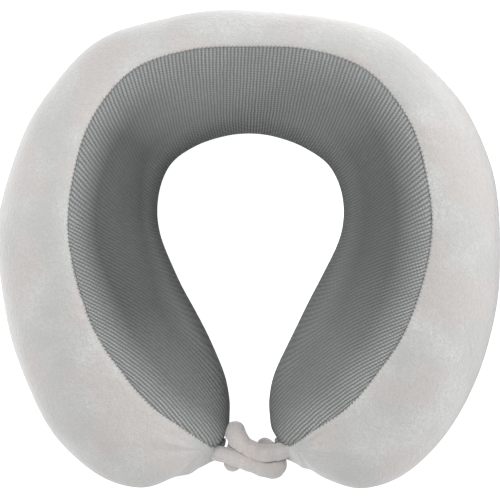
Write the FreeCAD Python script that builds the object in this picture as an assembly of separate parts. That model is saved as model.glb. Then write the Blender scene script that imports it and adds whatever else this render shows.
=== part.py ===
import FreeCAD, Part
import math
import os

os.makedirs("parts", exist_ok=True)

Vec = FreeCAD.Vector

# A U shaped neck pillow lying flat.  Millimetres, +Z up, the two tips point to -Y, X = 0 is the mirror plane.
# Stations run from the right tip (0) through the middle of the back (13) to the left tip (26).
# Each list holds the right half only, tip first; the left half mirrors it.
OUTER_EDGE = [(21.5, -122.5), (42, -132), (64, -137.5), (88, -130.5), (110.8, -110.3), (127, -82), (137.5, -54),
              (144, -15), (144.5, 17), (136, 55), (118, 90), (86, 121.7), (45, 134.9), (0, 138.5)]
INNER_EDGE = [(15.5, -109), (12.8, -103), (12.2, -95), (12.4, -85.5), (15, -72), (22, -54.7), (31, -36),
              (42, -14), (52.5, 10.3), (53.5, 31), (46.5, 49), (32, 60), (15, 66.4), (0, 68.3)]
RISE = [5, 20, 29, 36, 43, 51, 59, 66, 70, 69, 64, 56, 51, 49]
DROP = [5, 22, 34, 42] + [46.3] * 10
SEAM_FRACTION = [0.40, 0.33, 0.31, 0.34, 0.42, 0.475, 0.515, 0.53, 0.515, 0.52, 0.57, 0.635, 0.66, 0.65]
BACK = 13
LEFT_TIP = 26

# Cross-section: widest at EQUATOR, crest pushed towards the outside, flat patch underneath.
EQUATOR = 46.0
CREST_SHIFT = 0.14
TOP_FULLNESS = 0.9
FLAT_HALF = 0.58
LOWER_SEAM_HEIGHT = 18.0

# Layers, measured inward from the outside of the cover.
COVER = 4.0
LINER_OUT = 4.4
LINER_IN = 5.0
CORE_OUT = 5.9
SEAM_GAP = 1.15
THREAD_RADIUS = 0.3
THREAD_DEPTH = 1.0
THREAD_STEP = 5.0

# Zip in the outer lower seam across the back.  Its centre line is a circle around a vertical axis.
# Across the zip, m runs up the skin and n runs out of it; both start at the middle of the seam.
ZIP_AXIS_Y = -141.5
ZIP_HALF_LENGTH = 68.0
TAPE_END = 74.0
TAPE_INNER, TAPE_OUTER = 1.5, 10.5
TAPE_LOW, TAPE_HIGH = -2.2, -1.6
COIL_INNER, COIL_OUTER = 1.0, 3.2
COIL_LOW, COIL_HIGH = -2.9, -0.9
SLIDER_REST = 60.0
SLIDER_HALF_LENGTH = 5.5
SLIDER_HALF_WIDTH = 4.2
SLIDER_LOW, SLIDER_HIGH = -3.9, 0.1
STITCH_ROW = 6.5
PULL_LENGTH = 22.0
PULL_WIDTH = 6.6

# Blank care label caught in the outer lower seam, towards the right of the back.
LABEL_FIRST, LABEL_LAST = 10.3, 10.75
LABEL_DROP = 15.0

# Plush ties: round, soft, one from each tip, tied once in front of the opening.
TIE_DIAMETER = 9.0
RIGHT_TIE = [(27, -114.2, 51), (17.5, -116.6, 54.5), (8, -117.6, 56.5), (-0.8, -114.2, 57.5),
             (-7.5, -108.3, 58.2), (-9, -104.2, 52.8), (-7.8, -105.2, 45.2), (-7.8, -111.4, 39.5),
             (-8.8, -119.4, 35), (-10, -125.4, 28.5), (-10.4, -126.6, 20), (-10, -125.2, 12)]
LEFT_TIE = [(-27, -115.2, 51), (-17, -117.6, 53), (-7, -120.4, 53.5), (3, -124.8, 53.5), (12, -127.6, 52),
            (17, -125.4, 46), (15, -119.4, 39.8), (10.8, -113.8, 36), (8.2, -111.6, 28.5),
            (8.6, -112.4, 19.5)]


def mirrored(values, index):
    """Value at a whole station, with the left half taken from the right half."""
    if index < 0:
        first, second = values[0], values[1]
        if isinstance(first, tuple):
            return (2 * first[0] - second[0], 2 * first[1] - second[1])
        return 2 * first - second
    if index <= BACK:
        return values[index]
    if index > LEFT_TIP:
        value = mirrored(values, LEFT_TIP - index)
    else:
        value = values[LEFT_TIP - index]
    if isinstance(value, tuple):
        return (-value[0], value[1])
    return value


def smooth(a, b, c, d, f):
    """Smooth curve between b and c, with a and d as the neighbours."""
    slope_b = (c - a) / 2
    slope_c = (d - b) / 2
    return ((2 * f ** 3 - 3 * f ** 2 + 1) * b + (f ** 3 - 2 * f ** 2 + f) * slope_b
            + (3 * f ** 2 - 2 * f ** 3) * c + (f ** 3 - f ** 2) * slope_c)


def along(values, station):
    """A listed quantity at any station between the tips."""
    low = min(int(math.floor(station)), LEFT_TIP - 1)
    around = [mirrored(values, low + k) for k in (-1, 0, 1, 2)]
    f = station - low
    if isinstance(around[0], tuple):
        return tuple(smooth(*[p[axis] for p in around], f) for axis in (0, 1))
    return smooth(*around, f)


def skin_point(station, turn, depth):
    """Point on the pillow.  turn: 0 outer side, 90 crest, 180 inner side, 270 to 310 flat base, 400 outer side."""
    outer = along(OUTER_EDGE, station)
    inner = along(INNER_EDGE, station)
    half = math.dist(outer, inner) / 2
    rise = along(RISE, station) - depth
    drop = along(DROP, station) - depth
    k, b = CREST_SHIFT, FLAT_HALF
    if turn > 400:
        turn -= 400
    if turn < 0:
        turn += 400
    if turn <= 90:
        a = math.radians(turn)
        u, z = k + (1 - k) * math.cos(a) ** TOP_FULLNESS, rise * math.sin(a) ** TOP_FULLNESS
    elif turn <= 180:
        a = math.radians(180 - turn)
        u, z = k - (1 + k) * math.cos(a) ** TOP_FULLNESS, rise * math.sin(a) ** TOP_FULLNESS
    elif turn <= 270:
        a = math.radians(turn - 180)
        u, z = -b - (1 - b) * math.cos(a), -drop * math.sin(a)
    elif turn <= 310:
        u, z = b * (turn - 290) / 20, -drop
    else:
        a = math.radians(400 - turn)
        u, z = b + (1 - b) * math.cos(a), -drop * math.sin(a)
    reach = u * (half - depth) / half
    x = (outer[0] + inner[0]) / 2 + reach * (outer[0] - inner[0]) / 2
    y = (outer[1] + inner[1]) / 2 + reach * (outer[1] - inner[1]) / 2
    return Vec(x, y, EQUATOR + z)


def upper_seam(station):
    """Turn at which the knit neck panel meets the plush panel."""
    u = 2 * along(SEAM_FRACTION, station) - 1
    k = CREST_SHIFT
    if u > k:
        return math.degrees(math.acos(((u - k) / (1 - k)) ** (1 / TOP_FULLNESS)))
    return 180 - math.degrees(math.acos(((k - u) / (1 + k)) ** (1 / TOP_FULLNESS)))


LOWER_TURN = math.degrees(math.asin((EQUATOR - LOWER_SEAM_HEIGHT) / DROP[BACK]))


def inner_seam(station):
    return 180 + LOWER_TURN


def outer_seam(station):
    return 400 - LOWER_TURN


def shifted(seam, mm):
    """The same seam moved along the skin by a small distance."""
    def moved(station):
        turn = seam(station)
        speed = (skin_point(station, turn + 1, 0) - skin_point(station, turn - 1, 0)).Length / 2
        return turn + mm / speed
    return moved


def edge_between(station, start, end, depth):
    """One edge of a section: straight on the flat base, otherwise a smooth curve."""
    if start >= 270 and end <= 310:
        return Part.makeLine(skin_point(station, start, depth), skin_point(station, end, depth))
    count = max(5, int(round((end - start) / 14)) + 1)
    points = [skin_point(station, start + (end - start) * i / (count - 1), depth) for i in range(count)]
    curve = Part.BSplineCurve()
    curve.interpolate(points)
    return curve.toShape()


def run_of_edges(station, start, end, depth):
    stops = [start] + [c for c in (270, 310) if start < c < end] + [end]
    return [edge_between(station, a, b, depth) for a, b in zip(stops, stops[1:])]


def stations_between(first, last):
    """Close together near the tips, where the pillow closes quickly."""
    marks = [first, last]
    inner_marks = [0.25, 0.5, 0.75, 1, 1.5, 2, 2.5, 3, 3.5, 4, 4.5] + list(range(5, BACK + 1))
    marks += inner_marks + [LEFT_TIP - mark for mark in inner_marks]
    return sorted({mark for mark in marks if first <= mark <= last})


def strip(first, last, start, end, outside, inside):
    """A sheet that follows the skin between two seams, from one depth to another."""
    wires = []
    for station in stations_between(first, last):
        a, b = start(station), end(station)
        out = run_of_edges(station, a, b, outside)
        back = run_of_edges(station, a, b, inside)
        side_b = Part.makeLine(skin_point(station, b, outside), skin_point(station, b, inside))
        side_a = Part.makeLine(skin_point(station, a, inside), skin_point(station, a, outside))
        wires.append(Part.Wire(out + [side_b] + back[::-1] + [side_a]))
    return Part.makeLoft(wires, True, False)


def solid_core():
    wires = []
    for station in stations_between(0.75, LEFT_TIP - 0.75):
        wires.append(Part.Wire(run_of_edges(station, 0, 400, CORE_OUT)))
    return without_tie_roots(Part.makeLoft(wires, True, False))


def everywhere(turn):
    return lambda station: turn


ZIP_AXIS = Vec(0, ZIP_AXIS_Y, 0)
ZIP_CENTRE = skin_point(BACK, outer_seam(BACK), 0)
ZIP_UP = (skin_point(BACK, outer_seam(BACK) + 2, 0) - skin_point(BACK, outer_seam(BACK) - 2, 0)).normalize()
ZIP_OUT = Vec(0, ZIP_UP.z, -ZIP_UP.y)
ZIP_RADIUS = ZIP_CENTRE.y - ZIP_AXIS_Y


def swing(mm):
    """Angle round the zip axis for a distance along the zip; + is towards -X."""
    return math.degrees(mm / ZIP_RADIUS)


def bar(m_low, m_high, n_low, n_high, start, end):
    """Curved bar of rectangular section that follows the zip from one distance to another."""
    corners = [ZIP_CENTRE + ZIP_UP * m + ZIP_OUT * n
               for m, n in ((m_low, n_low), (m_high, n_low), (m_high, n_high), (m_low, n_high))]
    face = Part.Face(Part.makePolygon(corners + corners[:1]))
    face.rotate(ZIP_AXIS, Vec(0, 0, 1), swing(start))
    return face.revolve(ZIP_AXIS, Vec(0, 0, 1), swing(end - start))


def sided_bar(side, m_near, m_far, n_low, n_high, start, end):
    """The same bar on the upper (side 1) or lower (side -1) half of the zip."""
    low, high = sorted((side * m_near, side * m_far))
    return bar(low, high, n_low, n_high, start, end)


def tape_slot(side):
    """Room for one tape inside the pieces clamped round its edge."""
    return sided_bar(side, TAPE_INNER - 0.05, 20, TAPE_LOW - 0.05, TAPE_HIGH + 0.05, -90, 90)


def zip_tape(side):
    return sided_bar(side, TAPE_INNER, TAPE_OUTER, TAPE_LOW, TAPE_HIGH, -TAPE_END, TAPE_END)


def zip_coil(side):
    """One half of the coil, folded round the edge of its tape."""
    whole = sided_bar(side, COIL_INNER, COIL_OUTER, COIL_LOW, COIL_HIGH, -ZIP_HALF_LENGTH, ZIP_HALF_LENGTH)
    return whole.cut(tape_slot(side))


def zip_top_stops():
    """Two small clamps, one on the end of each tape edge, where the closed slider rests."""
    start = ZIP_HALF_LENGTH + 0.3
    clamps = [sided_bar(side, COIL_INNER, COIL_OUTER + 0.2, COIL_LOW - 0.1, COIL_HIGH + 0.1, start, start + 2.4)
              .cut(tape_slot(side)) for side in (1, -1)]
    return Part.makeCompound(clamps)


def zip_bottom_stop():
    """One wide clamp that joins both tapes at the far end."""
    end = -ZIP_HALF_LENGTH - 0.3
    reach = COIL_OUTER + 0.2
    clamp = bar(-reach, reach, COIL_LOW - 0.1, COIL_HIGH + 0.1, end - 2.6, end)
    return clamp.cut(tape_slot(1)).cut(tape_slot(-1))


def zip_stitching():
    """Two rows of thread that hold the tapes to the folded cover edges."""
    rows = [sided_bar(side, STITCH_ROW - 0.2, STITCH_ROW + 0.2, -1.35, -0.6, -TAPE_END + 1, TAPE_END - 1)
            for side in (1, -1)]
    return Part.makeCompound(rows)


def zip_slider():
    """Two plates joined by a post between the coils, with side lips and a bail on top."""
    near, far = SLIDER_REST - SLIDER_HALF_LENGTH, SLIDER_REST + SLIDER_HALF_LENGTH
    wide = SLIDER_HALF_WIDTH
    body = bar(-wide, wide, SLIDER_LOW, SLIDER_HIGH, near, far)
    body = body.cut(bar(-3.6, 3.6, -3.2, -0.6, near - 1, far + 1))
    for side in (1, -1):
        body = body.cut(sided_bar(side, 3, wide + 1, TAPE_LOW - 0.3, TAPE_HIGH + 0.3, near - 1, far + 1))
    post = bar(-0.6, 0.6, -3.3, -0.5, near, near + 2.4)
    bail = bar(-0.8, 0.8, SLIDER_HIGH - 0.05, 2.6, SLIDER_REST - 3, SLIDER_REST + 3)
    bail = bail.cut(bar(-1, 1, SLIDER_HIGH, 1.9, SLIDER_REST - 2, SLIDER_REST + 2))
    return body.fuse(post).fuse(bail)


def zip_pull():
    """Flat tab on a cross pin held by the bail; at rest it lies along the closed zip."""
    pin = Part.makeCylinder(0.55, 4.8, ZIP_CENTRE - ZIP_UP * 2.4 + ZIP_OUT * 0.95, ZIP_UP)
    along_zip = Vec(1, 0, 0)
    pieces = [pin]
    for side in (1, -1):
        low = sorted((side * 1.3, side * 2.4))[0]
        pieces.append(oblong(along_zip, -0.55, 5, low, low + 1.1, 0.4, 1.5))
    tab = oblong(along_zip, 4, PULL_LENGTH, -PULL_WIDTH / 2, PULL_WIDTH / 2, 0.4, 1.5)
    eye = Part.makeCylinder(1.3, 4, ZIP_CENTRE + along_zip * (PULL_LENGTH - 3.4) - ZIP_OUT, ZIP_OUT)
    pull = pieces[0].fuse(pieces[1:]).fuse(tab).cut(eye).removeSplitter()
    pull.rotate(ZIP_AXIS, Vec(0, 0, 1), swing(SLIDER_REST))
    return pull


def oblong(direction, start, end, m_low, m_high, n_low, n_high):
    """Straight block at the middle of the zip."""
    corners = [ZIP_CENTRE + direction * start + ZIP_UP * m + ZIP_OUT * n
               for m, n in ((m_low, n_low), (m_high, n_low), (m_high, n_high), (m_low, n_high))]
    return Part.Face(Part.makePolygon(corners + corners[:1])).extrude(direction * (end - start))


def zip_cuts():
    """Openings in the cover for the zip: its slot, room for the tapes and the two stitch rows."""
    cuts = [bar(-4.6, 4.6, -6, 4, -ZIP_HALF_LENGTH - 3.5, ZIP_HALF_LENGTH + 3.5),
            bar(-TAPE_OUTER - 0.3, TAPE_OUTER + 0.3, -6, TAPE_HIGH + 0.2, -TAPE_END - 0.5, TAPE_END + 0.5)]
    for side in (1, -1):
        cuts.append(sided_bar(side, STITCH_ROW - 0.35, STITCH_ROW + 0.35, -2, 2, -TAPE_END + 0.5, TAPE_END - 0.5))
    return cuts


def below_table():
    """Everything under z = 0.  Cutting it away leaves the truly flat face that the pillow lies on."""
    return Part.makeBox(400, 400, 20, Vec(-200, -200, -20))


def cover_panel(start, end, cuts=()):
    panel = strip(0, LEFT_TIP, start, end, 0, COVER)
    for cut in cuts:
        panel = panel.cut(cut)
    return without_tie_roots(panel)


def seam_thread(seam, depth=THREAD_DEPTH, radius=THREAD_RADIUS, first=0):
    """Thread that follows a seam from tip to tip, sunk between the two edges it joins."""
    curve = Part.BSplineCurve()
    curve.interpolate([skin_point(station, seam(station), depth)
                       for station in stations_between(first, LEFT_TIP - first)])
    length = curve.length()
    count = int(length / THREAD_STEP)
    rings = []
    for i in range(count + 1):
        place = curve.parameterAtDistance(length * i / count, curve.FirstParameter)
        onward = curve.tangent(place)[0]
        side = onward.cross(Vec(0, 0, 1)).normalize()
        ring = Part.Circle(Vec(), Vec(0, 0, 1), radius).toShape()
        turned = FreeCAD.Rotation(side, onward.cross(side), onward, "ZXY")
        ring.Placement = FreeCAD.Placement(curve.value(place), turned)
        rings.append(Part.Wire([ring]))
    return Part.makeLoft(rings, True, True)


def upper_seam_thread():
    """Ends at the sewn root of each tie; the specks left beyond the roots are dropped."""
    return max(without_tie_roots(seam_thread(upper_seam)).Solids, key=lambda piece: piece.Volume)


def outer_seam_thread():
    """The outer lower seam stops either side of the zip."""
    zip_room = bar(-20, 20, -20, 20, -TAPE_END - 1, TAPE_END + 1)
    return seam_thread(outer_seam).cut(zip_room)


def inner_liner():
    slit = SEAM_GAP
    bag = strip(0.5, LEFT_TIP - 0.5, shifted(everywhere(0), slit), shifted(everywhere(400), -slit),
                LINER_OUT, LINER_IN)
    return without_tie_roots(bag)


def liner_seam_thread():
    return seam_thread(everywhere(0), (LINER_OUT + LINER_IN) / 2, 0.25, 0.5)


def without_tie_roots(shape):
    """Room for the sewn end of each tie, which goes a little way into the tip."""
    rooms = []
    for route in (LEFT_TIE, RIGHT_TIE):
        start, onward = Vec(*route[0]), Vec(*route[1]) - Vec(*route[0])
        back = onward.normalize() * 8
        rooms.append(Part.makeCylinder(TIE_DIAMETER / 2 + 0.3, 24, start - back, onward))
    return shape.cut(rooms, 0.01)


def care_label():
    """Folded blank ribbon that hangs against the lower wall from the seam."""
    return strip(LABEL_FIRST, LABEL_LAST, shifted(outer_seam, -LABEL_DROP), shifted(outer_seam, -0.5), -1.6, -0.9)


def plush_start(station):
    return shifted(outer_seam, SEAM_GAP)(station) - 400


def rounded_tube(points, radius):
    """Tube of straight runs joined by arcs; also returns its centre line length and smallest arc radius."""
    nodes = [Vec(*p) for p in points]
    edges = []
    here = nodes[0]
    smallest = math.inf
    for before, corner, after in zip(nodes, nodes[1:], nodes[2:]):
        inward = (corner - before).normalize()
        onward = (after - corner).normalize()
        turn = inward.getAngle(onward)
        cut = 0.45 * min((corner - before).Length, (after - corner).Length)
        arc_radius = cut / math.tan(turn / 2)
        smallest = min(smallest, arc_radius)
        start, end = corner - inward * cut, corner + onward * cut
        inside = (onward - inward).normalize()
        middle = corner + inside * (arc_radius / math.cos(turn / 2) - arc_radius)
        edges.append(Part.LineSegment(here, start).toShape())
        edges.append(Part.Arc(start, middle, end).toShape())
        here = end
    edges.append(Part.LineSegment(here, nodes[-1]).toShape())
    path = Part.Wire(edges)
    circle = Part.Circle(nodes[0], nodes[1] - nodes[0], radius).toShape()
    tube = path.makePipeShell([Part.Wire(circle)], True, False, 2)
    return tube, path.Length, smallest


def plush_tie(name, route):
    tube, length, smallest = rounded_tube(route, TIE_DIAMETER / 2)
    expected = length * math.pi * TIE_DIAMETER ** 2 / 4
    print(name, "length", round(length, 1), "smallest arc radius", round(smallest, 2),
          "volume", round(tube.Volume), "section times length", round(expected))
    return tube


def export(name, shape):
    shape.exportStep("parts/%s.step" % name)
    print(name, "volume", round(shape.Volume), "valid", shape.isValid(), "solids", len(shape.Solids))


export("foam_core", solid_core())
export("inner_liner", inner_liner())
export("liner_seam_thread", liner_seam_thread())
export("neck_panel", cover_panel(shifted(upper_seam, SEAM_GAP), shifted(inner_seam, -SEAM_GAP)))
export("plush_outer_panel", cover_panel(plush_start, shifted(upper_seam, -SEAM_GAP), zip_cuts()))
export("base_panel", cover_panel(shifted(inner_seam, SEAM_GAP), shifted(outer_seam, -SEAM_GAP),
                                 zip_cuts() + [below_table()]))
export("upper_seam_thread", upper_seam_thread())
export("inner_seam_thread", seam_thread(inner_seam))
export("outer_seam_thread", outer_seam_thread())
export("zip_tape_upper", zip_tape(1))
export("zip_tape_lower", zip_tape(-1))
export("zip_coil_upper", zip_coil(1))
export("zip_coil_lower", zip_coil(-1))
export("zip_stitching", zip_stitching())
export("zip_top_stops", zip_top_stops())
export("zip_bottom_stop", zip_bottom_stop())
export("zip_slider", zip_slider())
export("zip_pull", zip_pull())
export("care_label", care_label())
export("right_tie", plush_tie("right_tie", RIGHT_TIE))
export("left_tie", plush_tie("left_tie", LEFT_TIE))
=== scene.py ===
import math

import bpy
import numpy as np
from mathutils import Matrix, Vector


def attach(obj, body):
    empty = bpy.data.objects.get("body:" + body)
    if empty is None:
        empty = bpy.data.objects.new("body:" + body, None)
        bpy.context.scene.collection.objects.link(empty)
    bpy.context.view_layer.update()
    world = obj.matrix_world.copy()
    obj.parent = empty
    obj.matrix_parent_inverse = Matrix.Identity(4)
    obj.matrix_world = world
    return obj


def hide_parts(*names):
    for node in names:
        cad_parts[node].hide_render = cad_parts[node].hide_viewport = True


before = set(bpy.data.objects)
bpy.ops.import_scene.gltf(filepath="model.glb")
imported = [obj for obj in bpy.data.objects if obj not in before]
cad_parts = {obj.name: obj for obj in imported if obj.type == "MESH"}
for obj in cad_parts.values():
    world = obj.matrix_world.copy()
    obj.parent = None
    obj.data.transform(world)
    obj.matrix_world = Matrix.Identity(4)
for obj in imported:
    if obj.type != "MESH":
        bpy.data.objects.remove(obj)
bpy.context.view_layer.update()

# The pillow's driving dimensions, in metres.  Stations run from the right tip (0) through the back (13)
# to the left tip (26); the lists hold the right half, tip first.
OUTER_EDGE = [(.0215, -.1225), (.042, -.132), (.064, -.1375), (.088, -.1305), (.1108, -.1103), (.127, -.082),
              (.1375, -.054), (.144, -.015), (.1445, .017), (.136, .055), (.118, .090), (.086, .1217),
              (.045, .1349), (0, .1385)]
INNER_EDGE = [(.0155, -.109), (.0128, -.103), (.0122, -.095), (.0124, -.0855), (.015, -.072), (.022, -.0547),
              (.031, -.036), (.042, -.014), (.0525, .0103), (.0535, .031), (.0465, .049), (.032, .060),
              (.015, .0664), (0, .0683)]
RISE = [.005, .020, .029, .036, .043, .051, .059, .066, .070, .069, .064, .056, .051, .049]
DROP = [.005, .022, .034, .042] + [.0463] * 10
SEAM_FRACTION = [.40, .33, .31, .34, .42, .475, .515, .53, .515, .52, .57, .635, .66, .65]
BACK, LEFT_TIP = 13, 26

# Turns are degrees round the skin.  A full turn counts 400: four quarters of 90, and 40 for the flat base.
FULL_TURN = 400
BASE_TURN, BASE_HALF_TURN = 290, 20
EQUATOR = .046
CREST_SHIFT = .14
TOP_FULLNESS = .9
FLAT_HALF = .58
LOWER_SEAM_HEIGHT = .018
LOWER_TURN = math.degrees(math.asin((EQUATOR - LOWER_SEAM_HEIGHT) / DROP[BACK]))
CORE_DEPTH, CORE_FIRST = .0059, .75
LINER_DEPTH, LINER_FIRST = .0046, .5
BAG_SPACING, BAG_SIDES = .004, 96

# Meshes of the cover's panels: spacing, thickness, and how their end rows draw in to a point at each tip.
PANEL_SPACING = .0016
PANEL_THICKNESS = .0009
TIP_CLOSENESS, TIP_REACH = 2.2, .8
GATHER_SHARES = (.88, .7, .5, .3, .12, 0)
TIP_BULGE = .0035

# The cover's unevenness: slow dents of the foam, folds that run out from each tie, and puckers at the seams.
DENT_HEIGHT, DENT_SIZE = .0007, .07
FOLD_HEIGHT, FOLD_REACH = .0006, .024
FOLD_CENTRE = (.026, -.114, .05)
SMOOTH_BY_ZIP = .02
PUCKER_HEIGHT, PUCKER_SIZE, PUCKER_REACH = .00022, .009, .006

# Seams: how far the cover sinks into each one, how wide and steep the sink is, and the stitches.  Past the
# station SEAM_FIRST a seam is at its full depth and stitched.
SEAM_SINK = .0014
SEAM_WIDTH = .0026
SEAM_POWER = 1.3
SEAM_FIRST = .5
STITCH_LENGTH, STITCH_RADIUS, STITCH_LEAN = .0016, .00022, 72
STITCH_SHARES = np.array([-1, -.86, -.4, 0, .4, .86, 1])
STITCH_TAPER = np.array([.35, .85, 1, 1, 1, .85, .35])
THREAD_SIDES = 6

# Knit: rib pitch, and the way the ribs run as seen from above, in degrees clockwise from +X.  From straight
# above the knit is seen up to the turn KNIT_SEEN_TO.
RIB_PITCH = .0018
KNIT_SEEN_TO = 168
RIB_HEADING = [122, 123, 125, 127.5, 132.5, 138.5, 144.5, 150.5, 148, 131, 116.5, 106, 96, 90]
RIB_TILT = 4
RIB_LIMIT = .02
# Width in from the upper seam over which the painted shade on the knit deepens.
KNIT_PAINTED_SHADE_WIDTH = .020

# Zip along the back of the outer lower seam, on a circle round a vertical axis.
ZIP_AXIS_Y = -.1415
ZIP_HALF_LENGTH = .0700
ZIP_SLOT_HALF = .0044
ZIP_SLOT_ROUNDING = .006
ZIP_BEHIND = .08
ZIP_FOLD_DEPTH = .0009
ZIP_COIL_HALF = .0675
COIL_PITCH = .00125
COIL_OFFSET, COIL_HALF_WIDTH = .00172, .0013
COIL_LIFT, COIL_HALF_HEIGHT = -.0019, .0008
WIRE_RADIUS = .0003

# Rows of stitches that hold the zip's tapes.
ROW_OFFSET = .0065
ROW_FIRST, ROW_LAST = 10.4, 15.6
ROW_PITCH, ROW_STITCH_LENGTH, ROW_STITCH_RADIUS = .0032, .0024, .00024

# The cover lies on top of the zip tapes.  It is raised to OVER_TAPE, and beyond the tapes to less, by
# TAPE_FALL_OFF times the distance.  That is done only behind TAPE_ZONE_FRONT, within TAPE_ZONE_DEPTH under
# the tapes and within TAPE_ZONE_HALF across them.
TAPE_HALF_LENGTH, TAPE_HALF_WIDTH = .0745, .0108
OVER_TAPE, TAPE_FALL_OFF = -.0006, .7
TAPE_ZONE_FRONT, TAPE_ZONE_DEPTH, TAPE_ZONE_HALF = .05, .006, .03

# Label beside the zip.
LABEL_FIRST, LABEL_LAST = 10.3, 10.75
LABEL_DROP = .015
LABEL_MARGIN = .0006
LABEL_THICKNESS = .00018

# Colours, linear.
PLUSH = (.66, .66, .645, 1)
TIE_PLUSH = (.72, .69, .67, 1)
KNIT = (.535, .552, .550, 1)
THREAD = (.22, .22, .21, 1)
ZIP_GREY = (.20, .20, .20, 1)
METAL = (.55, .55, .56, 1)
FOAM = (.80, .74, .55, 1)
LINER = (.72, .72, .70, 1)
SATIN = (.86, .86, .84, 1)
FLOOR = (.82, .82, .82, 1)

# Picture and light.
CAMERA_HEIGHT = 1.3
SENSOR_WIDTH = 36
VIEW_WIDTH = .2905
SKY_BELOW, SKY_ABOVE = .52, .15
HORIZON_GLOW = 1.1
KEY_POWER, KEY_PLACE = 19.5, (-.4, .32, 1.62)
SIDE_POWER, SIDE_PLACE = 9.0, (1.4, .25, .45)
LIT_POINT = (0, 0, .05)
FLOOR_GLOW = .9
FLOOR_SIZE, FLOOR_HEIGHT = 6, -.0004

# Ties: declared diameter, how much plumper they are drawn, and the middle line of each one.
TIE_DIAMETER = .009
TIE_PLUMPNESS = 1.08
BULGE_LENGTH = .008
TIE_SIDES, TIE_STEP = 28, .0006
TIE_FUZZ, TIE_FUZZ_SIZE = .00025, .007
RIGHT_TIE = [(.027, -.1142, .051), (.0175, -.1166, .0545), (.008, -.1176, .0565), (-.0008, -.1142, .0575),
             (-.0075, -.1083, .0582), (-.009, -.1042, .0528), (-.0078, -.1052, .0452),
             (-.0078, -.1114, .0395), (-.0088, -.1194, .035), (-.01, -.1254, .0285), (-.0104, -.1266, .02),
             (-.01, -.1252, .012)]
LEFT_TIE = [(-.027, -.1152, .051), (-.017, -.1176, .053), (-.007, -.1204, .0535), (.003, -.1248, .0535),
            (.012, -.1276, .052), (.017, -.1254, .046), (.015, -.1194, .0398), (.0108, -.1162, .036),
            (.0082, -.1150, .0285), (.0086, -.1160, .0195)]


# ---------------------------------------------------------------- the pillow's skin

def full_list(values):
    """The right half's list continued round the back to the left tip, with one extra station at each end."""
    right = np.array(values, float).reshape(len(values), -1)
    flip = np.array([-1, 1]) if right.shape[1] == 2 else np.array([1])
    whole = np.vstack([right, right[-2::-1] * flip])
    return np.vstack([2 * whole[:1] - whole[1:2], whole, 2 * whole[-1:] - whole[-2:-1]])


def along(values, station):
    """A listed quantity at any stations, on a smooth curve through the list."""
    whole = full_list(values)
    station = np.asarray(station, float)
    low = np.clip(np.floor(station).astype(int), 0, LEFT_TIP - 1)
    f = (station - low)[..., None]
    a, b, c, d = (whole[low + k] for k in range(4))
    slope_b, slope_c = (c - a) / 2, (d - b) / 2
    value = ((2 * f ** 3 - 3 * f ** 2 + 1) * b + (f ** 3 - 2 * f ** 2 + f) * slope_b
             + (3 * f ** 2 - 2 * f ** 3) * c + (f ** 3 - f ** 2) * slope_c)
    return value[..., 0] if value.shape[-1] == 1 else value


def skin(station, turn, depth=0.0):
    """Points on the pillow, depth under its surface.

    turn: 0 outer side, 90 crest, 180 inner side, 270 to 310 flat base, 400 outer side again.
    """
    station, turn = np.broadcast_arrays(np.asarray(station, float), np.asarray(turn, float))
    turn = np.mod(turn, FULL_TURN)
    outer, inner = along(OUTER_EDGE, station), along(INNER_EDGE, station)
    half = np.linalg.norm(outer - inner, axis=-1) / 2
    rise = along(RISE, station) - depth
    drop = along(DROP, station) - depth
    k, b = CREST_SHIFT, FLAT_HALF

    def power(x):
        return np.abs(x) ** TOP_FULLNESS

    a = np.radians(turn)
    lower_in, lower_out = np.radians(turn - 180), np.radians(FULL_TURN - turn)
    parts = [turn <= 90, turn <= 180, turn <= BASE_TURN - BASE_HALF_TURN, turn <= BASE_TURN + BASE_HALF_TURN]
    u = np.select(parts, [k + (1 - k) * power(np.cos(a)), k - (1 + k) * power(np.cos(a)),
                          -b - (1 - b) * np.cos(lower_in), b * (turn - BASE_TURN) / BASE_HALF_TURN],
                  b + (1 - b) * np.cos(lower_out))
    z = np.select(parts, [rise * power(np.sin(a)), rise * power(np.sin(a)), -drop * np.sin(lower_in), -drop],
                  -drop * np.sin(lower_out))
    reach = (u * (half - depth) / half)[..., None]
    plan = (outer + inner) / 2 + reach * (outer - inner) / 2
    return np.concatenate([plan, (EQUATOR + z)[..., None]], -1)


def upper_seam(station):
    """Turn at which the knit neck panel meets the plush."""
    u = 2 * along(SEAM_FRACTION, station) - 1
    k = CREST_SHIFT
    outside = np.degrees(np.arccos(np.clip((u - k) / (1 - k), 0, 1) ** (1 / TOP_FULLNESS)))
    inside = 180 - np.degrees(np.arccos(np.clip((k - u) / (1 + k), 0, 1) ** (1 / TOP_FULLNESS)))
    return np.where(u > k, outside, inside)


def inner_seam(station):
    """Turn at which the knit meets the base."""
    return np.full(np.shape(station), 180 + LOWER_TURN)


def outer_seam(station):
    """Turn at which the base meets the plush."""
    return np.full(np.shape(station), FULL_TURN - LOWER_TURN)


def skin_speed(station, turn):
    """Metres moved along the skin by one degree of turn."""
    return np.linalg.norm(skin(station, turn + 1) - skin(station, turn - 1), axis=-1) / 2


def lengths(points):
    """Running length along each row of points."""
    steps = np.linalg.norm(np.diff(points, axis=-2), axis=-1)
    return np.concatenate([np.zeros(steps.shape[:-1] + (1,)), np.cumsum(steps, -1)], -1)


def even_stations(spacing):
    """Stations spread evenly along the crest, closer where the tips close."""
    fine = np.linspace(0, LEFT_TIP, 4001)
    path = skin(fine, np.full(fine.shape, 60.0))
    ends = 1 + TIP_CLOSENESS * np.exp(-np.minimum(fine, LEFT_TIP - fine) / TIP_REACH)
    run = lengths(path)
    weighted = np.concatenate([[0], np.cumsum(np.diff(run) * (ends[1:] + ends[:-1]) / 2)])
    count = int(weighted[-1] / spacing)
    return np.interp(np.linspace(0, weighted[-1], count), weighted, fine)


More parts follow.
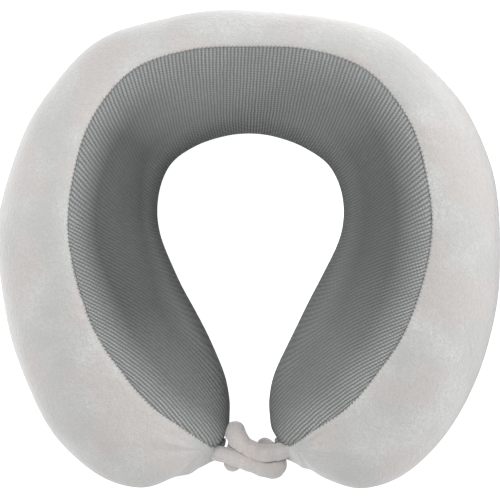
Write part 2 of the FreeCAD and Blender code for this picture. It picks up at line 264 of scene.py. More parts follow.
def wobble(points, size, seed, octaves=2):
    """Smooth noise of seeded sine waves, mostly between -1 and 1, about size metres from bump to bump."""
    rng = np.random.default_rng(seed)
    total = np.zeros(points.shape[:-1])
    weight = 0
    for octave in range(octaves):
        for _ in range(6):
            direction = rng.normal(size=3)
            direction /= np.linalg.norm(direction)
            phase = rng.uniform(0, 2 * math.pi)
            wave = 2 * math.pi / (size / 2 ** octave * rng.uniform(.8, 1.3))
            total += np.sin(points @ direction * wave + phase) / 2 ** octave
        weight += 6 / 2 ** octave
    return total / weight * 2


def outward(station, turn):
    """Unit vectors that point out of the skin."""
    s = skin(station + .02, turn) - skin(station - .02, turn)
    t = skin(station, turn + .6) - skin(station, turn - .6)
    n = np.cross(s, t)
    return n / np.maximum(np.linalg.norm(n, axis=-1, keepdims=True), 1e-12)


def crumple(points):
    """How far the cover stands out: slow dents of the foam, and soft folds that run out from each tie."""
    height = DENT_HEIGHT * wobble(points, DENT_SIZE, 5, 1)
    for side in (1, -1):
        away = points - np.array([side * FOLD_CENTRE[0], *FOLD_CENTRE[1:]])
        far = np.linalg.norm(away, axis=-1)
        bearing = np.arctan2(away[..., 1], away[..., 0] * side)
        fold = np.sin(bearing * 9 + side) + .6 * np.sin(bearing * 15 + 2 * side)
        # The folds fade out where the knit side begins.
        in_plush = np.clip((away[..., 0] * side + .002) / .012, 0, 1)
        height += FOLD_HEIGHT * in_plush * fold * np.exp(-((far - FOLD_REACH) / FOLD_REACH) ** 2)
    by_zip = np.exp(-((points[..., 2] - LOWER_SEAM_HEIGHT) / SMOOTH_BY_ZIP) ** 2) * zip_window(points)
    return height * (1 - by_zip)


def dressed(station, turn, lift=0.0):
    """Points on the cover as it lies, raised by lift."""
    points = skin(station, turn)
    height = crumple(points) + lift
    return over_tapes(points + outward(station, turn) * np.asarray(height)[..., None])


def over_tapes(points):
    """The same points, raised where needed so that the cover lies on top of the zip tapes."""
    centre, up, out, radius = zip_frame()
    x, y = points[..., 0], points[..., 1] - ZIP_AXIS_Y
    a = np.arctan2(-x, y)
    across = np.hypot(x, y) - radius, points[..., 2] - centre[2]
    m = across[0] * up[1] + across[1] * up[2]
    n = across[0] * out[1] + across[1] * out[2]
    beyond = np.maximum(np.abs(m) - TAPE_HALF_WIDTH, 0) + np.maximum(np.abs(a) * radius - TAPE_HALF_LENGTH, 0)
    near = (points[..., 1] > TAPE_ZONE_FRONT) & (n > -TAPE_ZONE_DEPTH) & (np.abs(m) < TAPE_ZONE_HALF)
    lift = np.where(near, np.maximum(OVER_TAPE - TAPE_FALL_OFF * beyond - n, 0), 0)
    way = np.stack([-out[1] * np.sin(a), out[1] * np.cos(a), np.full(a.shape, out[2])], -1)
    return points + way * lift[..., None]


def seam_sink(distance):
    """How deep the cover dips at this distance from a seam."""
    return SEAM_SINK * np.exp(-(distance / SEAM_WIDTH) ** SEAM_POWER)


def zip_window(points):
    """1 along the zip, 0 beyond its ends and away from the back."""
    inside = np.clip((ZIP_HALF_LENGTH - np.abs(points[..., 0])) / ZIP_SLOT_ROUNDING, 0, 1)
    return np.where(points[..., 1] > ZIP_BEHIND, np.sqrt(1 - (1 - inside) ** 2), 0)


# ---------------------------------------------------------------- meshes

def mesh_object(name, points, faces, layers=()):
    """A smooth-shaded object.  layers pairs the name of each UV layer with its values at the points."""
    mesh = bpy.data.meshes.new(name)
    mesh.from_pydata(np.asarray(points).tolist(), [], faces)
    corner = np.empty(len(mesh.loops), np.int32)
    mesh.loops.foreach_get("vertex_index", corner)
    for layer_name, uv in layers:
        layer = mesh.uv_layers.new(name=layer_name)
        layer.data.foreach_set("uv", np.asarray(uv, np.float32)[corner].ravel())
    mesh.polygons.foreach_set("use_smooth", [True] * len(mesh.polygons))
    mesh.update()
    obj = bpy.data.objects.new(name, mesh)
    bpy.context.scene.collection.objects.link(obj)
    return obj


def grid_faces(rows, columns, closed=False):
    """Quads over a grid of points; a closed grid joins its last column to its first."""
    i, j = np.meshgrid(np.arange(rows - 1), np.arange(columns if closed else columns - 1), indexing="ij")
    near, far = i * columns + j, i * columns + (j + 1) % columns
    return np.stack([near, near + columns, far + columns, far], -1).reshape(-1, 4).tolist()


def thicken(obj, thickness):
    """Gives a skin its thickness, inwards."""
    modifier = obj.modifiers.new("thickness", "SOLIDIFY")
    modifier.thickness = thickness
    modifier.offset = -1
    return obj


def tube(path, radii, sides):
    """Points and faces of a tube round a path, with a radius at each point and flat ends."""
    path = np.asarray(path, float)
    radii = np.broadcast_to(radii, len(path))
    forward = np.gradient(path, axis=0)
    forward /= np.linalg.norm(forward, axis=1, keepdims=True)
    side = np.cross(forward[0], [.3, .2, 1])
    rings = []
    for point, ahead, radius in zip(path, forward, radii):
        side = side - ahead * side.dot(ahead)
        side /= np.linalg.norm(side)
        other = np.cross(ahead, side)
        a = np.linspace(0, 2 * math.pi, sides, endpoint=False)[:, None]
        rings.append(point + radius * (np.cos(a) * side + np.sin(a) * other))
    faces = grid_faces(len(path), sides, True)
    last = (len(path) - 1) * sides
    faces += [list(range(sides)), list(range(last + sides - 1, last - 1, -1))]
    return np.concatenate(rings), faces


def tubes_object(name, tubes):
    """One object of many small tubes."""
    points, faces, count = [], [], 0
    for some_points, some_faces in tubes:
        points.append(some_points)
        faces += [[count + k for k in face] for face in some_faces]
        count += len(some_points)
    return mesh_object(name, np.concatenate(points), faces)


def even_turns(station, start, end, columns):
    """Turns spread evenly between two seams, closer at both, and the width of cover from the first seam."""
    share = np.linspace(0, 1, 121)
    fine = start[:, None] + (end - start)[:, None] * share
    run = lengths(skin(np.broadcast_to(station[:, None], fine.shape), fine))
    wanted = np.linspace(0, 1, columns)
    wanted = .55 * wanted + .45 * (1 - np.cos(math.pi * wanted)) / 2
    turn = np.array([np.interp(wanted * r[-1], r, t) for r, t in zip(run, fine)])
    return turn, wanted * run[:, -1:]


def gathered(ring, centre, away):
    """Rows that draw one end of a panel in to a point."""
    return [centre + (ring - centre) * f + away * TIP_BULGE * math.sqrt(1 - f * f) for f in GATHER_SHARES]


def close_tips(grid):
    """The same grid of points with the rows added that close it at both tips."""
    rows = [grid]
    for end, further, row in ((0, .5, 0), (LEFT_TIP, LEFT_TIP - .5, -1)):
        turns = np.arange(0, FULL_TURN, 50.0)
        centre = skin(np.full(turns.shape, float(end)), turns).mean(0)
        away = centre - skin(np.full(turns.shape, further), turns).mean(0)
        new = np.array(gathered(grid[row], centre, away / np.linalg.norm(away)))
        rows = [new[::-1]] + rows if end == 0 else rows + [new]
    return np.concatenate(rows)


def with_tip_rows(uv):
    """A panel's coordinates, its end rows repeated once for each row that close_tips adds."""
    added = len(GATHER_SHARES)
    return np.concatenate([np.repeat(uv[:1], added, 0), uv, np.repeat(uv[-1:], added, 0)]).reshape(-1, 2)


def cover_panel(name, start, end, zip_at_start=False, zip_at_end=False, layers=()):
    """One cover panel between two seams, sunk and puckered along both, and folded in at the zip."""
    station = even_stations(PANEL_SPACING)
    a, b = start(station), end(station)
    if zip_at_start:
        a = a + zip_window(skin(station, a)) * ZIP_SLOT_HALF / skin_speed(station, a)
    if zip_at_end:
        b = b - zip_window(skin(station, b)) * ZIP_SLOT_HALF / skin_speed(station, b)
    widths = lengths(skin(station[:, None], a[:, None] + (b - a)[:, None] * np.linspace(0, 1, 60)))[:, -1]
    columns = int(widths.max() / PANEL_SPACING) + 8
    turn, run = even_turns(station, a, b, columns)
    stations = np.broadcast_to(station[:, None], turn.shape)
    to_end = run[:, -1:] - run
    # The seams are shallow where the panels close at a tip.
    seam_share = np.clip(np.minimum(stations, LEFT_TIP - stations) / SEAM_FIRST, .15, 1)
    pucker = PUCKER_HEIGHT * wobble(skin(stations, turn), PUCKER_SIZE, 11)
    pucker = pucker * (np.exp(-run / PUCKER_REACH) + np.exp(-to_end / PUCKER_REACH))
    grid = dressed(stations, turn, pucker - seam_share * (seam_sink(run) + seam_sink(to_end)))
    if zip_at_start or zip_at_end:
        edge = 0 if zip_at_start else -1
        inward = outward(stations[:, edge], turn[:, edge]) * zip_window(grid[:, edge])[:, None]
        fold = (grid[:, edge] - inward * ZIP_FOLD_DEPTH)[:, None]
        grid = np.concatenate([fold, grid] if zip_at_start else [grid, fold], 1)
    grid[..., 2] = np.maximum(grid[..., 2], 0)
    grid = close_tips(grid)
    uvs = [(layer, with_tip_rows(coordinates(stations, run))) for layer, coordinates in layers]
    obj = mesh_object(name, grid.reshape(-1, 3), grid_faces(*grid.shape[:2]), uvs)
    return thicken(obj, PANEL_THICKNESS)


def unit(vectors):
    """The vectors, each one metre long."""
    return vectors / np.linalg.norm(vectors, axis=-1, keepdims=True)


def rib_coordinates(stations, run):
    """Across the ribs and along them, counted in rib pitches.  Seen from above they keep to RIB_HEADING."""
    station = stations[:, 0]
    seam = upper_seam(station)
    middle = (seam + KNIT_SEEN_TO) / 2
    line = skin(station, middle)
    width = lengths(skin(station[:, None], seam[:, None] + (middle - seam)[:, None] * np.linspace(0, 1, 30)))
    ahead = unit(np.gradient(line, axis=0))
    inward = unit(skin(station, middle + 1) - skin(station, middle - 1))
    heading = along(RIB_HEADING, station)
    heading = np.radians(np.where(station > BACK, 180 - heading, heading) + RIB_TILT)
    seen = np.stack([np.cos(heading), -np.sin(heading)], -1)
    size = np.cross(inward[:, :2], ahead[:, :2])
    down = np.cross(seen, ahead[:, :2]) / size
    forth = np.cross(inward[:, :2], seen) / size
    stretch = np.linalg.norm(down[:, None] * inward + forth[:, None] * ahead, axis=-1)
    down, forth = down / stretch, forth / stretch
    corner = np.linalg.norm(np.cross(inward, ahead), axis=-1)
    step = np.gradient(lengths(line[None])[0])
    across, onward = np.cumsum(corner * down * step), np.cumsum(forth * step)
    centre = np.argmin(np.abs(station - BACK))
    v = run - width[:, -1:]
    v = np.where(v > 0, RIB_LIMIT * np.tanh(v / RIB_LIMIT), v)
    phase = (across - across[centre])[:, None] - (corner * forth)[:, None] * v
    q = (onward - onward[centre])[:, None] + down[:, None] * v
    return np.stack([phase, q], -1) / RIB_PITCH


def knit_painted_shade(stations, run):
    """Painted shade on the knit, most on the inner slopes of the arms, and how far the painted highlight and
    the contrast of the ribs fade.
    """
    from_back = np.abs(stations - BACK)
    # The painted shade on the arms is darkest five stations from the back, fades out towards it, and is
    # darker on the left arm.
    arm = .42 + .66 * np.exp(-((from_back - 5) / 2.5) ** 2)
    arm *= np.clip(from_back / 3, 0, 1)
    arm *= 1 + .16 * np.clip((stations - BACK) / 4, -1, 1)
    depth = np.clip(run / KNIT_PAINTED_SHADE_WIDTH, 0, 1)
    # Painted shade on the back is dark near the seam and light by 50 mm down; on the arms it is a little
    # lighter below 43 mm.
    back = .44 * np.clip(1 - from_back / 5, 0, 1) * (1 - np.clip(run / .05, 0, 1) ** 3)
    shade = back + arm * depth * (1 - .4 * np.clip((run - .043) / .016, 0, 1))
    # Painted highlight on the ribs: bright near the seam, it fades further in and the ribs lose half their
    # contrast; not near the back.
    painted_highlight_fade = np.clip(run / KNIT_PAINTED_SHADE_WIDTH - .3, 0, 1) * np.clip(from_back / 4, 0, 1)
    return np.stack([shade, painted_highlight_fade], -1)


def closed_bag(name, depth, first):
    """The pillow's shape at one depth, from the station first to its mirror image, closed at both ends."""
    station = even_stations(BAG_SPACING)
    station = station[(station > first) & (station < LEFT_TIP - first)]
    turns = np.linspace(0, FULL_TURN, BAG_SIDES, endpoint=False)
    stations = np.repeat(station[:, None], BAG_SIDES, 1)
    points = skin(stations, np.broadcast_to(turns, stations.shape), depth)
    ends = [points[row].mean(0) for row in (0, -1)]
    near = [ends[0] + (points[0] - ends[0]) * f for f in (.05, .5, .85)]
    far = [ends[1] + (points[-1] - ends[1]) * f for f in (.85, .5, .05)]
    grid = np.concatenate([near, points, far])
    return mesh_object(name, grid.reshape(-1, 3), grid_faces(len(grid), BAG_SIDES, True))


def seam_stitches(name, seam, pitch, length, radius, first, last, lean=90, skip_zip=False, only_zip=False,
                  depth=None):
    """Short stitches along a seam.  lean 90 lays them across it and 0 along it.

    Without a depth they dip with the seam; with one they lie that deep, their ends a little deeper.
    """
    fine = np.linspace(first, last, 3000)
    run = lengths(skin(fine, seam(fine))[None])[0]
    station = np.interp(np.arange(pitch, run[-1] - pitch, pitch), run, fine)
    turn = seam(station)
    centre = dressed(station, turn)
    normal = outward(station, turn)
    onward = np.gradient(centre, axis=0)
    onward /= np.linalg.norm(onward, axis=1, keepdims=True)
    across = np.cross(normal, onward)
    angle = math.radians(lean)
    way = across * math.sin(angle) + onward * math.cos(angle)
    window = zip_window(centre) > 0
    tubes = []
    reach = STITCH_SHARES * length / 2
    down = seam_sink(np.abs(reach)) - .0001 if depth is None else depth + .0003 * STITCH_SHARES ** 4
    for c, n, w, at_zip in zip(centre, normal, way, window):
        if (skip_zip and at_zip) or (only_zip and not at_zip):
            continue
        tubes.append(tube(c + w * reach[:, None] - n * down[:, None], radius * STITCH_TAPER, THREAD_SIDES))
    return tubes_object(name, tubes)


def swept(curve_name, route, radius_at, sides):
    """A mesh tube that follows the smooth line of a route, the points of that line and its length."""
    curve = bpy.data.curves.new(curve_name, "CURVE")
    curve.dimensions = "3D"
    curve.resolution_u = 14
    spline = curve.splines.new("NURBS")
    spline.points.add(len(route) - 1)
    for point, place in zip(spline.points, route):
        point.co = (*place, 1)
    spline.order_u = 3
    spline.use_endpoint_u = True
    carrier = bpy.data.objects.new(curve_name, curve)
    line = bpy.data.meshes.new_from_object(carrier)
    path = np.array([v.co for v in line.vertices])
    bpy.data.objects.remove(carrier)
    bpy.data.meshes.remove(line)
    run = lengths(path[None])[0]
    even = np.linspace(0, run[-1], int(run[-1] / TIE_STEP))
    path = np.stack([np.interp(even, run, path[:, axis]) for axis in range(3)], -1)
    points, faces = tube(path, radius_at(even, run[-1]), sides)
    return points, faces, path, run[-1]


def tie_radius(run, total, bulge_at, bulge):
    """Gathered where it is sewn in, swollen where it bends round the other tie, rounded off at its end."""
    half = TIE_PLUMPNESS * TIE_DIAMETER / 2 * (1 + bulge * np.exp(-((run - bulge_at) / BULGE_LENGTH) ** 2))
    root = 1 - .25 * np.exp(-(run / .006) ** 2)
    uneven = 1 + .04 * np.sin(run * 2 * math.pi / .021 + 1) + .03 * np.sin(run * 2 * math.pi / .0083)
    left = np.clip((total - run) / half, 0, 1)
    return half * root * uneven * np.sqrt(np.maximum(1 - (1 - left) ** 2, .004))


def plush_tie(name, route, node, bulge_at, bulge):
    """One tie, fuzzy all over but for the point of its end; it stands for a CAD node."""
    def radius_at(run, total):
        return tie_radius(run, total, bulge_at, bulge)

    points, faces, path, length = swept(name + "_line", route, radius_at, TIE_SIDES)
    away = points - np.repeat(path, TIE_SIDES, 0)
    reach = np.linalg.norm(away, axis=1, keepdims=True)
    fuzz = (TIE_FUZZ * wobble(points, TIE_FUZZ_SIZE, 3))[:, None]
    points = points + away / np.maximum(reach, 1e-9) * fuzz * (reach > .002)
    obj = mesh_object(name, points, faces)
    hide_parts(node)
    return obj


def zip_frame():
    """Middle of the zip, the way up the skin and the way out of it, and the radius of its curve."""
    turn = float(outer_seam(np.array(BACK)))
    centre = skin(BACK, turn)
    up = skin(BACK, turn + 2) - skin(BACK, turn - 2)
    up = up / np.linalg.norm(up)
    return centre, up, np.array([0, up[2], -up[1]]), centre[1] - ZIP_AXIS_Y


def zip_point(distance, m, n):
    """A point at a distance along the zip, m up across it and n out of it."""
    centre, up, out, radius = zip_frame()
    flat = centre + np.outer(m, up) + np.outer(n, out)
    a = distance / radius
    y = flat[:, 1] - ZIP_AXIS_Y
    return np.stack([-y * np.sin(a), ZIP_AXIS_Y + y * np.cos(a), flat[:, 2]], -1)


def zip_coil(name, side):
    """One side's filament, wound round its tape edge and sewn on."""
    turns = 2 * ZIP_COIL_HALF / COIL_PITCH
    a = np.linspace(0, 2 * math.pi * turns, int(turns * 14))
    distance = -ZIP_COIL_HALF + COIL_PITCH * (a / (2 * math.pi) + (.25 if side > 0 else -.25))
    path = zip_point(distance, side * (COIL_OFFSET + COIL_HALF_WIDTH * np.cos(a)),
                     COIL_LIFT + COIL_HALF_HEIGHT * np.sin(a))
    return tubes_object(name, [tube(path, WIRE_RADIUS, THREAD_SIDES)])


def care_label(name):
    """Blank satin ribbon folded in half, both ends caught in the seam, hanging on the lower wall."""
    across = np.linspace(LABEL_FIRST, LABEL_LAST, 26)
    leaf = np.linspace(0, 1, 30)
    down = -LABEL_MARGIN - leaf * (LABEL_DROP - 2 * LABEL_MARGIN)
    drop = np.concatenate([down, down[::-1]])
    # The front leaf lies .7 mm above the back one at the seam and .5 mm above it at the fold.
    height = np.concatenate([.0011 - .0001 * leaf, .0004 + .0001 * leaf[::-1]])
    stations, drops = np.meshgrid(across, drop, indexing="ij")
    seam = outer_seam(stations)
    turn = seam + drops / skin_speed(stations, seam)
    curl = .0004 * np.sin((stations - LABEL_FIRST) * 9) * (drops / LABEL_DROP) ** 2
    points = dressed(stations, turn, height[None] + np.abs(curl))
    run = lengths(points)
    width = lengths(points.swapaxes(0, 1)).swapaxes(0, 1)
    obj = mesh_object(name, points.reshape(-1, 3), grid_faces(len(across), len(drop)),
                      [("Weave", np.stack([width, run], -1).reshape(-1, 2))])
    thicken(obj, LABEL_THICKNESS)
    return obj


# ---------------------------------------------------------------- materials

class Shade:
    """One procedural material, built node by node."""

    def __init__(self, name):
        self.material = bpy.data.materials.new(name)
        self.material.use_nodes = True
        self.tree = self.material.node_tree
        self.shader = self.tree.nodes["Principled BSDF"]

    def node(self, kind, inputs=(), **settings):
        """A new node with its settings made and its inputs linked or set."""
        made = self.tree.nodes.new(kind)
        for key, value in settings.items():
            setattr(made, key, value)
        for key, value in dict(inputs).items():
            self.put(made.inputs[key], value)
        return made

    def put(self, socket, value):
        """Links an output to a socket, or sets the socket to a constant."""
        if isinstance(value, bpy.types.NodeSocket):
            self.tree.links.new(value, socket)
        else:
            socket.default_value = value

    def place(self):
        """Position on the object, in metres."""
        return self.node("ShaderNodeTexCoord").outputs["Object"]

    def noise(self, size, detail=2.0, stretch=(1, 1, 1), vector=None):
        """Noise with bumps about size metres across."""
        moved = self.node("ShaderNodeMapping", {"Vector": vector or self.place(), "Scale": stretch})
        made = self.node("ShaderNodeTexNoise", {"Vector": moved.outputs[0], "Scale": 1 / size,
                                                "Detail": detail})
        return made.outputs["Fac"]

    def math(self, operation, *values):
        made = self.node("ShaderNodeMath", operation=operation)
        for socket, value in zip(made.inputs, values):
            self.put(socket, value)
        return made.outputs[0]

    def spread(self, value, low, high, to_low=0.0, to_high=1.0):
        """The value stretched from one range to another, and held at its ends."""
        made = self.node("ShaderNodeMapRange", {"Value": value, "From Min": low, "From Max": high,
                                                "To Min": to_low, "To Max": to_high})
        return made.outputs[0]

    def mix(self, share, first, second):
        """Two colours mixed: all first at share 0, all second at share 1."""
        made = self.node("ShaderNodeMix", data_type="RGBA")
        self.put(made.inputs[0], share)
        self.put(made.inputs[6], first)
        self.put(made.inputs[7], second)
        return made.outputs[2]

    def bump(self, height, distance, below=None):
        """The normal of a relief distance metres high, laid over the one below."""
        inputs = {"Height": height, "Distance": distance, "Strength": 1.0}
        if below is not None:
            inputs["Normal"] = below
        return self.node("ShaderNodeBump", inputs).outputs[0]

    def finish(self, colour, normal=None, **constants):
        """Wires the shader's colour and normal, and sets its other sockets to constants."""
        self.put(self.shader.inputs["Base Color"], colour)
        if normal is not None:
            self.put(self.shader.inputs["Normal"], normal)
        for key, value in constants.items():
            self.shader.inputs[key.replace("_", " ")].default_value = value
        return self.material


def tint(colour, factor):
    """A colour made darker or lighter."""
    return (*[min(c * factor, 1) for c in colour[:3]], 1)


def plush(name, colour, pile=1.0):
    """Short velvety pile: flattened blotches, tufts and fine fibre ends."""
    shade = Shade(name)
    blotch = shade.noise(.030, 1)
    warm = shade.noise(.034, 1, vector=shade.node("ShaderNodeMapping", {"Vector": shade.place(),
                                                                        "Location": (.2, .1, 0)}).outputs[0])
    tuft = shade.noise(.0030, 3)
    fibre = shade.noise(.0009, 2, (1, 1, .5))
    tone = shade.mix(shade.spread(blotch, .38, .62), tint(colour, .88), tint(colour, 1.05))
    pink = (colour[0] * .97, colour[1] * .885, colour[2] * .87, 1)
    tone = shade.mix(shade.spread(warm, .46, .60), tone, pink)
    tone = shade.mix(shade.spread(tuft, .35, .65, .5, 0), tone, tint(colour, .84))
    tone = shade.mix(shade.spread(fibre, .35, .65, .6, 0), tone, tint(colour, .72))
    low = shade.bump(tuft, .0006 * pile)
    return shade.finish(tone, shade.bump(fibre, .0003 * pile, low), Roughness=.95, Specular_IOR_Level=.1,
                        Sheen_Weight=1.0, Sheen_Roughness=.5)


def ribbed_knit(name, colour):
    """Raised ribs of small stitches with darker gaps, partly painted shade in the recesses; a painted
    highlight on the ribs near the seam, and painted shade that darkens the knit further in.
    """
    shade = Shade(name)
    uv = shade.node("ShaderNodeUVMap", uv_map="Ribs").outputs[0]
    split = shade.node("ShaderNodeSeparateXYZ", {"Vector": uv})
    # The second UV layer holds the painted shade and how far the ribs' painted highlight fades.
    lie = shade.node("ShaderNodeUVMap", uv_map="PaintedShade").outputs[0]
    painted_shade, painted_highlight_fade = shade.node("ShaderNodeSeparateXYZ", {"Vector": lie}).outputs[:2]
    drift = shade.spread(shade.noise(.006, 1), 0, 1, -.2, .2)
    across = shade.math("ADD", split.outputs[0], drift)
    wave = shade.math("COSINE", shade.math("MULTIPLY", across, 2 * math.pi))
    rib = shade.math("POWER", shade.spread(wave, -1, 1), .7)
    lean = shade.math("MULTIPLY", shade.math("ABSOLUTE", wave), .35)
    onward = shade.math("ADD", split.outputs[1], lean)
    stitch = shade.math("SINE", shade.math("MULTIPLY", onward, 2 * math.pi * 1.2))
    stitch = shade.spread(stitch, -1, 1)
    yarn = shade.noise(.0010, 2)
    cloud = shade.noise(.02, 1)
    # Painted highlight: the ribs are lightest and most contrasted near the seam and fade further in.
    lively = shade.spread(painted_highlight_fade, 0, 1, 1, .5)
    light = shade.mix(painted_highlight_fade, tint(colour, 1.22), tint(colour, .84))
    # Painted shade darkens the knit and its gaps further in; the gaps' own darkness is partly painted shade
    # in the recesses.
    tone = shade.mix(painted_shade, light, tint(colour, .30))
    shaded_gap = shade.mix(painted_shade, tint(colour, .40), tint(colour, .19))
    tone = shade.mix(shade.spread(cloud, .35, .65, .12, 0), tone, shaded_gap)
    tone = shade.mix(shade.spread(yarn, .3, .7, .35, 0), tone, shaded_gap)
    tone = shade.mix(shade.math("MULTIPLY", shade.spread(stitch, 0, 1, .6, 0), lively), tone, shaded_gap)
    tone = shade.mix(shade.math("MULTIPLY", shade.spread(rib, 0, .85, 1, 0), lively), tone, shaded_gap)
    height = shade.math("ADD", rib, shade.math("MULTIPLY", stitch, .3))
    height = shade.math("ADD", height, shade.math("MULTIPLY", yarn, .3))
    return shade.finish(tone, shade.bump(height, .0006), Roughness=.9, Specular_IOR_Level=.15,
                        Sheen_Weight=.05, Sheen_Roughness=.5)


def thread(name, colour):
    """Twisted sewing thread."""
    shade = Shade(name)
    twist = shade.noise(.0005, 1, (1, 1, 2))
    tone = shade.mix(twist, tint(colour, .7), tint(colour, 1.15))
    return shade.finish(tone, shade.bump(twist, .0002), Roughness=.65, Sheen_Weight=.2)


def woven_tape(name, colour):
    """Herringbone weave of the zip tape."""
    shade = Shade(name)
    place = shade.node("ShaderNodeSeparateXYZ", {"Vector": shade.place()})
    x = shade.math("MULTIPLY", place.outputs[0], 2 * math.pi / .0008)
    z = shade.math("MULTIPLY", place.outputs[2], 2 * math.pi / .0008)
    row = shade.math("SIGN", shade.math("SINE", shade.math("MULTIPLY", place.outputs[2], 2 * math.pi / .003)))
    weave = shade.spread(shade.math("SINE", shade.math("ADD", x, shade.math("MULTIPLY", z, row))), -1, 1)
    tone = shade.mix(weave, tint(colour, .75), tint(colour, 1.1))
    return shade.finish(tone, shade.bump(weave, .00012), Roughness=.8, Sheen_Weight=.1)


def moulded(name, colour, roughness):
    """Nylon with faint drawing marks."""
    shade = Shade(name)
    marks = shade.noise(.0006, 2, (6, 1, 1))
    tone = shade.mix(marks, tint(colour, .88), tint(colour, 1.1))
    return shade.finish(tone, shade.bump(marks, .00004), Roughness=roughness, Specular_IOR_Level=.5)


def cast_metal(name, colour, roughness):
    """Plated die-cast zip parts, worn brighter on high spots."""
    shade = Shade(name)
    worn = shade.noise(.0035, 3)
    grain = shade.noise(.0004, 2)
    tone = shade.mix(shade.spread(worn, .45, .7), tint(colour, .9), tint(colour, 1.25))
    shade.put(shade.shader.inputs["Roughness"], shade.spread(worn, .3, .7, roughness + .1, roughness - .06))
    return shade.finish(tone, shade.bump(grain, .00003), Metallic=1.0)


def satin(name, colour):
    """Woven satin ribbon."""
    shade = Shade(name)
    uv = shade.node("ShaderNodeUVMap", uv_map="Weave").outputs[0]
    split = shade.node("ShaderNodeSeparateXYZ", {"Vector": uv})
    warp = shade.math("SINE", shade.math("MULTIPLY", split.outputs[0], 2 * math.pi / .0006))
    weft = shade.math("SINE", shade.math("MULTIPLY", split.outputs[1], 2 * math.pi / .0009))
    weave = shade.spread(shade.math("MULTIPLY", warp, weft), -1, 1)
    tone = shade.mix(weave, tint(colour, .9), tint(colour, 1.0))
    return shade.finish(tone, shade.bump(weave, .00008), Roughness=.42, Sheen_Weight=.2)


def foam(name, colour):
    """Open-cell foam."""
    shade = Shade(name)
    cells = shade.node("ShaderNodeTexVoronoi", {"Vector": shade.place(), "Scale": 1 / .0016})
    cells = cells.outputs["Distance"]
    tone = shade.mix(shade.spread(cells, 0, .6), tint(colour, .82), tint(colour, 1.04))
    return shade.finish(tone, shade.bump(cells, .0004), Roughness=.9)


def liner_knit(name, colour):
    """Thin plain knit bag."""
    shade = Shade(name)
    loops = shade.noise(.0009, 1, (1, 1, 3))
    tone = shade.mix(loops, tint(colour, .88), tint(colour, 1.03))
    return shade.finish(tone, shade.bump(loops, .0002), Roughness=.85, Sheen_Weight=.1)


def paint(obj, material):
    """Gives an object one material in place of its own."""
    obj.data.materials.clear()
    obj.data.materials.append(material)
    return obj


# ---------------------------------------------------------------- camera, ties

def camera():
    """Straight above, the top of the picture towards the back of the pillow."""
    data = bpy.data.cameras.new("camera")
    data.sensor_width = SENSOR_WIDTH
    data.lens = SENSOR_WIDTH * (CAMERA_HEIGHT - EQUATOR) / VIEW_WIDTH
    obj = bpy.data.objects.new("camera", data)
    obj.location = (0, 0, CAMERA_HEIGHT)
    bpy.context.scene.collection.objects.link(obj)
    bpy.context.scene.camera = obj


def add(obj, slot, material, *nodes):
    """Gives a new piece its material and its place on the pillow."""
    paint(obj, material)
    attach(obj, "pillow")
    if nodes:
        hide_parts(*nodes)
    return obj


camera()
plush_cloth = plush("plush", PLUSH)
base_cloth = plush("plush_base", tint(PLUSH, .97), .6)
tie_cloth = plush("tie_plush", TIE_PLUSH)
knit_cloth = ribbed_knit("ribbed_knit", KNIT)
seam_thread = thread("seam_thread", THREAD)
add(plush_tie("right_tie_cord", RIGHT_TIE, "right_tie", .040, .24), "tie_plush", tie_cloth)
add(plush_tie("left_tie_cord", LEFT_TIE, "left_tie", .046, .10), "tie_plush", tie_cloth)


# ---------------------------------------------------------------- cover, core and liner

def plush_start(station):
    """The outer seam, counted from below as the start of the plush panel."""
    return outer_seam(station) - FULL_TURN


add(cover_panel("plush_outer_panel_cover", plush_start, upper_seam, zip_at_start=True), "plush", plush_cloth,
    "plush_outer_panel")
# The knit panel carries its rib coordinates and its painted shade.
add(cover_panel("neck_panel_cover", upper_seam, inner_seam, layers=[("Ribs", rib_coordinates),
                                                                   ("PaintedShade", knit_painted_shade)]),
    "ribbed_knit", knit_cloth, "neck_panel")
add(cover_panel("base_panel_cover", inner_seam, outer_seam, zip_at_end=True), "plush_base", base_cloth,
    "base_panel")
core = closed_bag("foam_core_block", CORE_DEPTH, CORE_FIRST)
add(core, "foam", foam("foam", FOAM), "foam_core")
bag = closed_bag("inner_liner_bag", LINER_DEPTH, LINER_FIRST)
add(bag, "liner", liner_knit("liner", LINER), "inner_liner")

for name, seam, pitch, skip_zip in (("upper_seam", upper_seam, .0024, False),
                                    ("inner_seam", inner_seam, .0026, False),
                                    ("outer_seam", outer_seam, .0026, True)):
    stitches = seam_stitches(name + "_stitches", seam, pitch, STITCH_LENGTH, STITCH_RADIUS, SEAM_FIRST,
                             LEFT_TIP - SEAM_FIRST, STITCH_LEAN, skip_zip)
    add(stitches, "seam_thread", seam_thread, name + "_thread")


# ---------------------------------------------------------------- zip and label

def stitch_row(side):
    """The seam moved to one row of the zip's topstitching."""
    def moved(station):
        seam = outer_seam(station)
        return seam + side * ROW_OFFSET / skin_speed(station, seam)
    return moved


for side, place in ((1, "upper"), (-1, "lower")):
    coil = zip_coil("zip_coil_%s_wire" % place, side)
    add(coil, "zip_coil", moulded("zip_coil_" + place, ZIP_GREY, .35), "zip_coil_" + place)
    row = seam_stitches("zip_topstitch_" + place, stitch_row(side), ROW_PITCH, ROW_STITCH_LENGTH,
                        ROW_STITCH_RADIUS, ROW_FIRST, ROW_LAST, 0, only_zip=True, depth=-.0001)
    add(row, "seam_thread", seam_thread, *(["zip_stitching"] if side > 0 else []))
    paint(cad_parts["zip_tape_" + place], woven_tape("zip_tape_" + place, ZIP_GREY))

plated = cast_metal("zip_metal", METAL, .34)
for node in ("zip_top_stops", "zip_bottom_stop"):
    paint(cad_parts[node], plated)
for node in ("zip_slider", "zip_pull"):
    paint(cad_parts[node], cast_metal(node + "_finish", METAL, .28))
paint(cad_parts["liner_seam_thread"], thread("liner_thread", LINER))
add(care_label("care_label_ribbon"), "label_satin", satin("label_satin", SATIN), "care_label")


# ---------------------------------------------------------------- floor and light

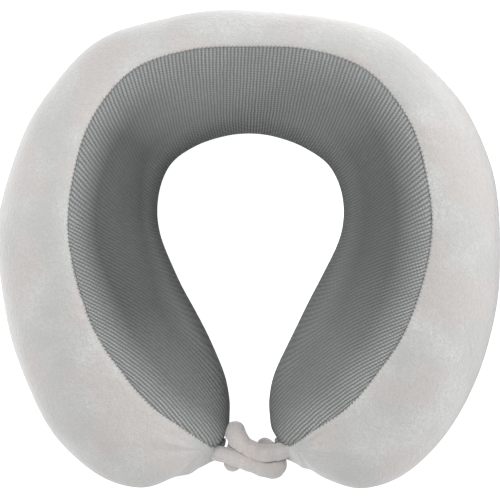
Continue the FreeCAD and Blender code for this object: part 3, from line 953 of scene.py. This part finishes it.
def floor():
    """A white floor that glows a little and doesn't light the pillow."""
    bpy.ops.mesh.primitive_plane_add(size=FLOOR_SIZE, location=(0, 0, FLOOR_HEIGHT))
    obj = bpy.context.active_object
    obj.name = "floor"
    shade = Shade("floor")
    shade.finish(FLOOR, Roughness=.9, Emission_Color=(1, 1, 1, 1), Emission_Strength=FLOOR_GLOW)
    paint(obj, shade.material)
    obj.visible_diffuse = False
    obj.visible_glossy = False


def softbox(name, place, width, height, power):
    """A rectangular light turned towards the pillow."""
    data = bpy.data.lights.new(name, "AREA")
    data.shape = "RECTANGLE"
    data.size, data.size_y = width, height
    data.energy = power
    obj = bpy.data.objects.new(name, data)
    obj.location = place
    obj.rotation_euler = (Vector(LIT_POINT) - Vector(place)).to_track_quat("-Z", "Y").to_euler()
    bpy.context.scene.collection.objects.link(obj)


def surroundings():
    """Light walls all round, darker above and below them."""
    world = bpy.data.worlds.new("studio")
    bpy.context.scene.world = world
    world.use_nodes = True
    tree = world.node_tree
    direction = tree.nodes.new("ShaderNodeTexCoord").outputs["Generated"]
    split = tree.nodes.new("ShaderNodeSeparateXYZ")
    height = tree.nodes.new("ShaderNodeMapRange")
    band = tree.nodes.new("ShaderNodeValToRGB")
    tree.links.new(direction, split.inputs[0])
    tree.links.new(split.outputs[2], height.inputs["Value"])
    height.inputs["From Min"].default_value = -1
    stops = band.color_ramp.elements
    stops[0].position, stops[0].color = .42, (SKY_BELOW, SKY_BELOW, SKY_BELOW, 1)
    stops[1].position, stops[1].color = .78, (SKY_ABOVE, SKY_ABOVE, SKY_ABOVE, 1)
    for place in (.50, .62):
        stops.new(place).color = (1, 1, 1, 1)
    tree.links.new(height.outputs[0], band.inputs[0])
    tree.links.new(band.outputs[0], tree.nodes["Background"].inputs["Color"])
    tree.nodes["Background"].inputs["Strength"].default_value = HORIZON_GLOW


floor()
surroundings()
softbox("key", KEY_PLACE, 1.0, 1.0, KEY_POWER)
softbox("side", SIDE_PLACE, .8, .5, SIDE_POWER)
bpy.context.scene.view_settings.view_transform = "Standard"
